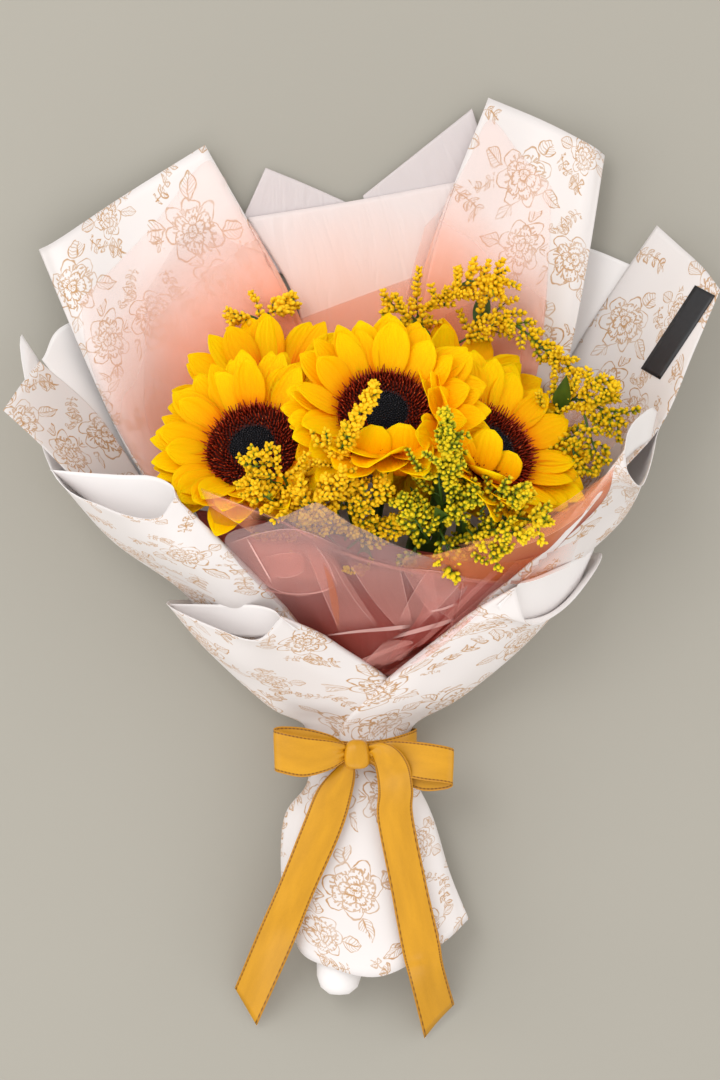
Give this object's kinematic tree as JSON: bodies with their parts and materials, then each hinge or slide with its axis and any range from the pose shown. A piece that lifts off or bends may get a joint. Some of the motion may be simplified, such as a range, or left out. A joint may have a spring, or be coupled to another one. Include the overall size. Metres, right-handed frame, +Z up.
{
  "type": "wrapped bunch of sunflowers",
  "caption": "Bunch of sunflowers and goldenrod lying in printed wrapping paper, tissue and pink film, tied with a satin bow.",
  "frame": {"origin": "middle of the footprint, on the table that the bunch lies on", "axes": "+X to the right across the bunch, +Y from the cut stems to the tips of the paper, +Z up from the table"},
  "size_m": [0.472, 0.638, 0.1737],
  "materials": {
    "printed_paper": "satin paper with a fine gold line print",
    "plain_paper": "plain satin paper",
    "label": "matte black, plain",
    "tissue": "translucent tissue",
    "peach_film": "translucent film",
    "rose_film": "translucent film",
    "disc_ring": "matte florets",
    "disc_centre": "woolly",
    "petals": "soft petal",
    "stem": "matte green stem",
    "goldenrod": "matte small florets",
    "satin": "satin ribbon"
  },
  "bodies": {
    "root": {"right_lower_wrap": "printed_paper", "left_lower_wrap": "printed_paper", "right_front_wrap": "printed_paper", "left_front_wrap": "printed_paper", "left_side_panel": "printed_paper", "left_tall_panel": "printed_paper", "right_tall_panel": "printed_paper", "right_side_panel": "printed_paper", "lower_paper": "printed_paper", "left_plain_sheet": "plain_paper", "right_plain_sheet": "plain_paper", "stem_end_wrap": "plain_paper", "blank_label": "label", "back_tissue_left": "tissue", "back_tissue_right": "tissue", "back_tissue_middle": "tissue", "left_film": "peach_film", "right_film": "peach_film", "right_side_film": "peach_film", "front_film_deep": "rose_film", "front_film_near": "rose_film", "middle_disc_ring": "disc_ring", "middle_disc_centre": "disc_centre", "middle_petals": "petals", "middle_stem": "stem", "left_disc_ring": "disc_ring", "left_disc_centre": "disc_centre", "left_petals": "petals", "left_stem": "stem", "right_disc_ring": "disc_ring", "right_disc_centre": "disc_centre", "right_petals": "petals", "right_stem": "stem", "back_left_disc_ring": "disc_ring", "back_left_disc_centre": "disc_centre", "back_left_petals": "petals", "back_left_stem": "stem", "back_right_disc_ring": "disc_ring", "back_right_disc_centre": "disc_centre", "back_right_petals": "petals", "back_right_stem": "stem", "goldenrod_front_left": "goldenrod", "goldenrod_front_middle": "goldenrod", "goldenrod_front_right": "goldenrod", "goldenrod_front_droop": "goldenrod", "goldenrod_back_plume": "goldenrod", "goldenrod_back_left": "goldenrod", "goldenrod_arch": "goldenrod", "goldenrod_right_cluster": "goldenrod", "ribbon_band": "satin", "ribbon_knot": "satin", "ribbon_loop_left": "satin", "ribbon_loop_right": "satin", "ribbon_tail_left": "satin", "ribbon_tail_right": "satin"}
  },
  "joints": []
}
